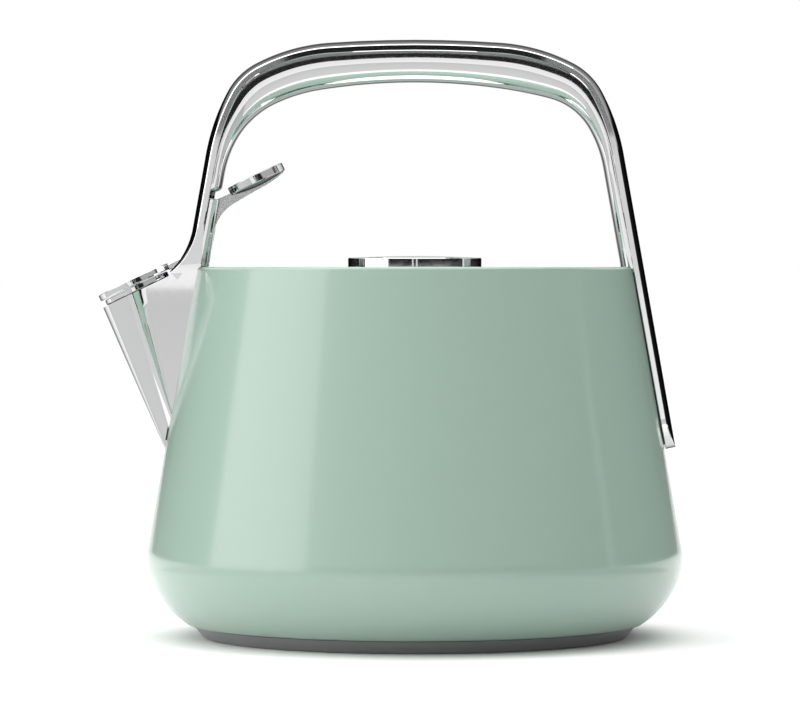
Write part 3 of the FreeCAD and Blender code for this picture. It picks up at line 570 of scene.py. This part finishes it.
def lever_guide():
    """Two rounded cheeks joined by a thin back, lofted down the leg's inner side."""
    deep, back, slot, half, corner, soft = 0.0036, 0.0008, 0.0042, 0.0092, 0.0032, 0.0003
    low, high, lead = 0.13735, 0.1625, 0.00025
    right = [(half, -soft), (half, deep - corner)]
    right += arc((half - corner, deep - corner), corner, 10, 90, 8)
    right += [(slot + soft, deep), (slot, deep - soft), (slot, back)]
    section = right + [(-across, depth) for across, depth in reversed(right)]
    middle = [0.1400 + 0.0060 * step for step in range(4)]
    rings = []
    for height in [low, low + lead] + middle + [high - soft, high]:
        x, z = behind_leg(height)
        inset = soft if height in (low, high) else 0.0
        ring = []
        for across, depth in section:
            shallower = inset if depth > deep / 2 else 0.0
            ring.append((x + (depth - shallower) / math.cos(LEAN), across - math.copysign(inset, across), z))
        rings.append(ring)
    piece("lever_channel", *loft(rings), "kettle", "polished_chrome", ["lever_guide"], sharp=35)


# ---------------------------------------------------------------- lever and whistle


PAD, PAD_THICK = (-0.0596, 0.1713), 0.003     # middle of the thumb pad's face


def pad_seat(x):
    """Height of the blade's slope, a little inside the thumb pad's underside."""
    bite = 0.0008
    seat_x = PAD[0] + PAD_THICK * math.sin(TILT)
    seat_z = PAD[1] - PAD_THICK * math.cos(TILT) + bite
    return seat_z + (x - seat_x) * math.tan(TILT)


def lever_throat(start, stop):
    """Gently bowed edge from the channel to the arm's underside, without its last point."""
    parts, bow, lean_x, lean_z = 14, 0.0014, -0.77, 0.64
    edge = [start]
    for step in range(1, parts):
        share = step / parts
        spot = Vector(start).lerp(Vector(stop), share)
        out = 4 * share * (1 - share) * bow
        edge.append((spot.x + out * lean_x, spot.y + out * lean_z))
    return edge


def lever_outline():
    """Side view of the arm: from the whistle's nut past the pivot and up the channel to the thumb pad."""
    pivot, knuckle = (-0.0786, 0.140), 0.0024
    tip_x, heel_x, heel_lift = -0.0505, -0.0730, 0.0002
    in_slot = 0.0013
    elbow = (-0.0667, 0.1612)
    nut_under = [(-0.0915, 0.1362), (-0.0885, 0.1369), (pivot[0] - 0.0016, pivot[1] - 0.0018)]
    arm_under = [(-0.0630, 0.1634), (-0.0586, 0.1659), (-0.0548, 0.1680), (-0.0510, 0.1706)]
    arm_under.append((-0.0486, 0.1727))
    arm_top = [(tip_x, pad_seat(tip_x)), (heel_x, pad_seat(heel_x) + heel_lift)]
    in_channel = [behind_leg(0.1617, in_slot), behind_leg(0.1465, in_slot)]
    nut_top = [(-0.0825, 0.1429), (-0.0923, 0.1381)]
    throat = lever_throat(behind_leg(0.1505, 0.0035), elbow)
    lower = nut_under + arc(pivot, knuckle, -90, 0, 6) + throat + [elbow] + arm_under
    return lower + arm_top + in_channel + nut_top


def lever_arm():
    half, bevel_width = 0.0022, 0.0003
    sides = [[(x, y, z) for x, z in lever_outline()] for y in (-half, half)]
    count = len(sides[0])
    faces = [list(range(count)), list(range(count, 2 * count))[::-1]] + skin(count, 1)
    thing = piece("lever_blade", sides[0] + sides[1], faces, "lever", "satin_steel", ["lever_arm"], sharp=30)
    bevel = thing.modifiers.new("Edges", "BEVEL")
    bevel.width = bevel_width
    bevel.segments = 2
    bevel.limit_method = "ANGLE"


def thumb_pad():
    """A disc with a domed underside and an almost flat face."""
    radius, dome, edge, parts = 0.01115, 0.0013, 0.0003, 12
    domed, lowest = radius - 0.0004, -PAD_THICK - dome
    face_share, face_rise, middle_rise = 0.6, 0.00002, 0.00003
    profile = [(0, lowest)]
    for step in range(1, parts + 1):
        across = domed * step / parts
        profile.append((across, lowest + sag(across, radius, dome)))
    profile.append((radius, edge - PAD_THICK))
    profile += arc((radius - edge, -edge), edge, 0, 90, 4)
    profile += [(radius * face_share, face_rise), (0, middle_rise)]
    vertices, faces = lathe(profile, 96, closed=False)
    piece("thumb_button", tilted(vertices, PAD), faces, "lever", "polished_chrome", ["thumb_pad"], sharp=30)


def whistle():
    """The cap with its stem, and the plate under it."""
    radius, thick, edge, dished = 0.01422, 0.0023, 0.0003, 0.008
    cap = [(0, 0), (radius - edge, 0), (radius, edge)]
    cap += arc((radius - edge, thick - edge), edge, 0, 90, 4)
    cap += [(dished, thick), (0, thick)]
    vertices, faces = lathe(cap, 128, closed=False)
    stem_radius, stem_foot, stem_top = 0.002, -0.008, 0.0001
    stem, stem_faces = lathe([(stem_radius, stem_foot), (stem_radius, stem_top)], 32, closed=False)
    faces += [[v + len(vertices) for v in face] for face in stem_faces]
    spots = tilted(vertices + stem, WHISTLE)
    piece("whistle_disc", spots, faces, "lever", "polished_chrome", ["whistle_cap"], sharp=30)
    ring, low, high, soft = 0.0128, -0.0022, -0.0004, 0.0002
    plate = [(stem_radius, low), (ring - soft, low), (ring, low + soft)]
    plate += [(ring, high - soft), (ring - soft, high), (stem_radius, high)]
    vertices, faces = lathe(plate, 128)
    spots = tilted(vertices, WHISTLE)
    piece("whistle_ring", spots, faces, "lever", "polished_chrome", ["whistle_plate"], sharp=30)


# ---------------------------------------------------------------- lid


def lid_knob():
    """A low drum with a rounded foot and a slightly domed top."""
    radius, low, high, top = 0.02485, 0.133, 0.1407, 0.1414
    edge, screw_hole, parts = 0.0006, 0.0025, 19
    knob = [(screw_hole, low)] + arc((radius - edge, low + edge), edge, -90, 0, 5)
    knob += [(radius, high - 0.0003), (radius - 0.0002, high - 0.00005)]
    for step in range(1, parts + 1):
        across = (radius - 0.0004) * (1 - step / parts)
        knob.append((across, top - sag(across, radius, top - high)))
    vertices, faces = lathe(knob, 160, closed=False)
    piece("knob_disc", vertices, faces, "lid", "polished_chrome", ["lid_knob"], sharp=30)


def lid_plate():
    """A flat plate with a rounded edge and a hole for the knob's screw."""
    rim, hole, thick, edge, level = 0.0522, 0.0026, 0.0012, 0.0005, 0.030
    top = SEAT_Z + thick
    plate = [(hole, SEAT_Z), (rim, SEAT_Z)] + arc((rim - edge, top - edge), edge, 0, 90, 5)
    plate += [(level, top), (hole, top)]
    piece("lid_disc", *lathe(plate, 192), "lid", "mint_enamel", ["lid_plate"], sharp=40)


# ---------------------------------------------------------------- materials


CAD_SLOTS = {
    "mint_enamel": ("body_shell", "lid_plate"),
    "plain_steel": ("bottom_pan", "whistle_cup", "lid_skirt", "knob_spacer"),
    "aluminium_disc": ("heat_disc",),
    "brushed_steel": ("base_cap",),
    "polished_chrome": (
        "handle_arch", "grip_belly", "spout_neck", "lever_guide", "thumb_pad", "whistle_cap", "whistle_plate",
        "lid_knob",
    ),
    "fastener_steel": (
        "grip_screw", "neck_screws", "tongue_screws", "pivot_pin", "lever_spring", "whistle_nut",
        "knob_screw", "knob_washer",
    ),
    "satin_steel": ("lever_arm",),
    "brass_reed": ("whistle_reed",),
    "dark_silicone": ("neck_gasket", "neck_washers", "tongue_gasket", "tongue_washers", "whistle_seal"),
    "pale_silicone": ("lid_gasket",),
}


def linear(red, green, blue):
    """A colour given in display values from 0 to 255."""
    def one(value):
        share = value / 255
        return share / 12.92 if share <= 0.04045 else ((share + 0.055) / 1.055) ** 2.4
    return one(red), one(green), one(blue), 1.0


MINT = linear(150, 175, 161)


def material(name, colour, metallic, roughness, coat=0.0, coat_rough=0.1, grain=0.0, size=400.0, edge=1.0):
    """Principled finish whose roughness wanders with a fine noise, which `grain` also raises as a bump;
    `edge` tints a metal's grazing reflections, and a dark value paints shade along its silhouettes.
    """
    made = bpy.data.materials.new(name)
    made.use_nodes = True
    nodes, links = made.node_tree.nodes, made.node_tree.links
    shader = nodes["Principled BSDF"]
    shader.inputs["Base Color"].default_value = colour
    shader.inputs["Metallic"].default_value = metallic
    # on a metal, a dark `edge` paints shade: dark outlines along its grazing edges
    shader.inputs["Specular Tint"].default_value = (edge, edge, edge, 1.0)
    shader.inputs["Coat Weight"].default_value = coat
    shader.inputs["Coat Roughness"].default_value = coat_rough
    shader.inputs["Roughness"].default_value = roughness
    place = nodes.new("ShaderNodeTexCoord")
    noise = nodes.new("ShaderNodeTexNoise")
    noise.inputs["Scale"].default_value = size
    noise.inputs["Detail"].default_value = 3.0
    links.new(place.outputs["Object"], noise.inputs["Vector"])
    spread = nodes.new("ShaderNodeMapRange")
    spread.inputs["To Min"].default_value = max(roughness - 0.02, 0.0)
    spread.inputs["To Max"].default_value = roughness + 0.02
    links.new(noise.outputs["Fac"], spread.inputs["Value"])
    links.new(spread.outputs["Result"], shader.inputs["Roughness"])
    if grain:
        add_bump(made, noise.outputs["Fac"], grain, 0.0002)
    return made


def add_bump(made, height, strength, distance):
    nodes, links = made.node_tree.nodes, made.node_tree.links
    bump = nodes.new("ShaderNodeBump")
    bump.inputs["Strength"].default_value = strength
    bump.inputs["Distance"].default_value = distance
    links.new(height, bump.inputs["Height"])
    links.new(bump.outputs["Normal"], nodes["Principled BSDF"].inputs["Normal"])


def turned_steel(name, colour, roughness):
    """Steel with fine concentric lathe lines about Z."""
    made = material(name, colour, 1.0, roughness)
    nodes, links = made.node_tree.nodes, made.node_tree.links
    place = nodes.new("ShaderNodeTexCoord")
    rings = nodes.new("ShaderNodeTexWave")
    rings.wave_type = "RINGS"
    rings.rings_direction = "Z"
    rings.inputs["Scale"].default_value = 900.0
    links.new(place.outputs["Object"], rings.inputs["Vector"])
    add_bump(made, rings.outputs["Fac"], 0.08, 0.0001)
    return made


def finishes():
    return {
        "mint_enamel": material("Mint", MINT, 0.0, 0.36, coat=0.8, coat_rough=0.12, size=900.0),
        # the chrome's edge tint of 0.08 is painted shade: it draws dark outlines along the chrome's grazing
        # edges
        "polished_chrome": material("Chrome", (0.76, 0.76, 0.77, 1), 1.0, 0.03, edge=0.08),
        "satin_steel": material("Satin", (0.78, 0.78, 0.78, 1), 1.0, 0.16),
        "brushed_steel": turned_steel("Brushed", (0.36, 0.36, 0.365, 1), 0.34),
        "plain_steel": material("Steel", (0.55, 0.55, 0.55, 1), 1.0, 0.28),
        "fastener_steel": material("Fastener", (0.45, 0.45, 0.46, 1), 1.0, 0.25),
        "aluminium_disc": material("Aluminium", (0.7, 0.7, 0.71, 1), 1.0, 0.42, grain=0.1),
        "brass_reed": material("Brass", (0.72, 0.52, 0.22, 1), 1.0, 0.25),
        "dark_silicone": material("DarkRubber", (0.02, 0.02, 0.02, 1), 0.0, 0.6, grain=0.05),
        "pale_silicone": material("PaleRubber", (0.75, 0.75, 0.72, 1), 0.0, 0.5, grain=0.05),
    }


def dress(thing, finish):
    thing.data.materials.clear()
    thing.data.materials.append(finish)


def paint():
    made = finishes()
    for slot, names in CAD_SLOTS.items():
        for name in names:
            dress(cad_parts[name], made[slot])
    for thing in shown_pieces():
        if "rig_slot" in thing:
            dress(thing, made[thing["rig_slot"]])


# ---------------------------------------------------------------- studio


# azimuth from the front towards +X, low to high, then elevation, softness in degrees, level
ZONES = (
    (-110, 110, -5, 95, 12.0, 0.50),       # dim front half
    (-47, 172, -8, 14, 2.0, 0.02),         # dark band round the horizon, right of the softbox
    (-172, -98, -8, 14, 2.0, 0.02),        # and left of it
    (75, 112, 14, 40, 5.0, 0.12),          # dark flag on the right
    (-98, -47, -12, 62, 1.2, 2.4),         # softbox on the left
    (-5, -1.8, -1, 2.8, 0.8, 0.85),        # two small lights beside the camera
    (1.8, 5, -1, 2.8, 0.8, 0.85),
    (90, 96, -8, 14, 1.5, 0.9),            # slit of light in the dark band on the right
)
MIRRORED_SHEETS = (
    ("FrontSheet", (-0.20, -1.4), (0.20, -0.32), 0.55),
    ("LeftSheet", (-1.0, -1.4), (-0.20, 0.10), 0.50),
    ("RightSheet", (0.20, -1.4), (1.0, 0.10), 0.40),
)
MIRRORED_CARDS = (
    ("BehindCamera", (0, -1.9, 0.40), (0.21, 0.24), 0.005),
    ("BehindCameraSoft", (0, -1.95, 0.40), (0.34, 0.31), 0.25),
)


def studio_world():
    """White surroundings with the zones laid over them, each over the ones before it."""
    world = bpy.data.worlds.new("Studio")
    bpy.context.scene.world = world
    world.use_nodes = True
    nodes, links = world.node_tree.nodes, world.node_tree.links
    background = nodes["Background"]

    def maths(kind, *values):
        node = nodes.new("ShaderNodeMath")
        node.operation = kind
        for index, value in enumerate(values):
            if isinstance(value, (int, float)):
                node.inputs[index].default_value = value
            else:
                links.new(value, node.inputs[index])
        return node.outputs[0]

    def ramp(high, low, soft):
        return maths("MINIMUM", maths("MAXIMUM", maths("DIVIDE", maths("SUBTRACT", high, low), soft), 0), 1)

    def band(value, low, high, soft):
        return maths("MINIMUM", ramp(value, low, soft), ramp(high, value, soft))

    place = nodes.new("ShaderNodeTexCoord")
    split = nodes.new("ShaderNodeSeparateXYZ")
    links.new(place.outputs["Generated"], split.inputs[0])
    x, y, z = split.outputs
    azimuth = maths("DEGREES", maths("ARCTAN2", x, maths("MULTIPLY", y, -1)))
    elevation = maths("DEGREES", maths("ARCSINE", z))
    light = 1.0
    for low, high, bottom, top, soft, level in ZONES:
        mask = maths("MULTIPLY", band(azimuth, low, high, soft), band(elevation, bottom, top, soft))
        gap = maths("SUBTRACT", level, light)
        light = maths("ADD", light, maths("MULTIPLY", gap, mask))
    links.new(light, background.inputs["Strength"])
    background.inputs["Color"].default_value = (1, 1, 1, 1)


def staged(thing):
    bpy.context.scene.collection.objects.link(thing)
    return thing


def flat(name, corners, place, colour):
    """A matt four-cornered sheet on the stage."""
    mesh = bpy.data.meshes.new(name)
    mesh.from_pydata(corners, [], [(0, 1, 2, 3)])
    paper = bpy.data.materials.new(name)
    paper.use_nodes = True
    paper.node_tree.nodes["Principled BSDF"].inputs["Base Color"].default_value = colour
    paper.node_tree.nodes["Principled BSDF"].inputs["Roughness"].default_value = 1.0
    mesh.materials.append(paper)
    thing = bpy.data.objects.new(name, mesh)
    thing.location = place
    return staged(thing)


def mirrored(name, corners, place, level):
    """A grey sheet that only reflections show: the camera, shadows and diffuse light pass it by."""
    thing = flat(name, corners, place, (level, level, level, 1))
    thing.visible_camera = False
    thing.visible_diffuse = False
    thing.visible_shadow = False
    thing.visible_transmission = False


def lamps():
    panel = bpy.data.lights.new("Overhead", "AREA")
    panel.shape = "RECTANGLE"
    panel.size, panel.size_y = 1.6, 1.2
    panel.energy = 11
    staged(bpy.data.objects.new("Overhead", panel)).location = (0, 0.1, 1.5)
    sun = bpy.data.lights.new("Sky", "SUN")
    sun.energy = 0.9
    sun.angle = math.radians(110)
    staged(bpy.data.objects.new("Sky", sun)).rotation_euler = (math.radians(12), math.radians(-8), 0)


def studio():
    """Near-white floor, the lamps, and sheets on the floor and cards facing +Y that the kettle mirrors."""
    bpy.context.scene.view_settings.view_transform = "Standard"
    studio_world()
    wide = 30.0
    floor = [(-wide, -wide, 0), (wide, -wide, 0), (wide, wide, 0), (-wide, wide, 0)]
    flat("Floor", floor, (0, 0, -0.0002), (0.93, 0.93, 0.925, 1))
    for name, low, high, level in MIRRORED_SHEETS:
        corners = [(low[0], low[1], 0), (high[0], low[1], 0), (high[0], high[1], 0), (low[0], high[1], 0)]
        mirrored(name, corners, (0, 0, 0.0005), level)
    for name, centre, size, level in MIRRORED_CARDS:
        wide, tall = size[0] / 2, size[1] / 2
        corners = [(-wide, 0, -tall), (wide, 0, -tall), (wide, 0, tall), (-wide, 0, tall)]
        mirrored(name, corners, centre, level)
    lamps()


def camera():
    data = bpy.data.cameras.new("Camera")
    data.lens = 195.7
    data.sensor_width = 36
    eye = Vector((0, -1.62, 0.1373))
    aim = Vector((-0.0055, 0, 0.1043))
    thing = bpy.data.objects.new("Camera", data)
    thing.location = eye
    thing.rotation_mode = "QUATERNION"
    thing.rotation_quaternion = (aim - eye).to_track_quat("-Z", "Y")
    bpy.context.scene.collection.objects.link(thing)
    bpy.context.scene.camera = thing


body_shell()
base_cap()
handle_band()
grip_belly()
spout_casting()
lever_guide()
lever_arm()
thumb_pad()
whistle()
lid_knob()
lid_plate()
paint()
studio()
camera()
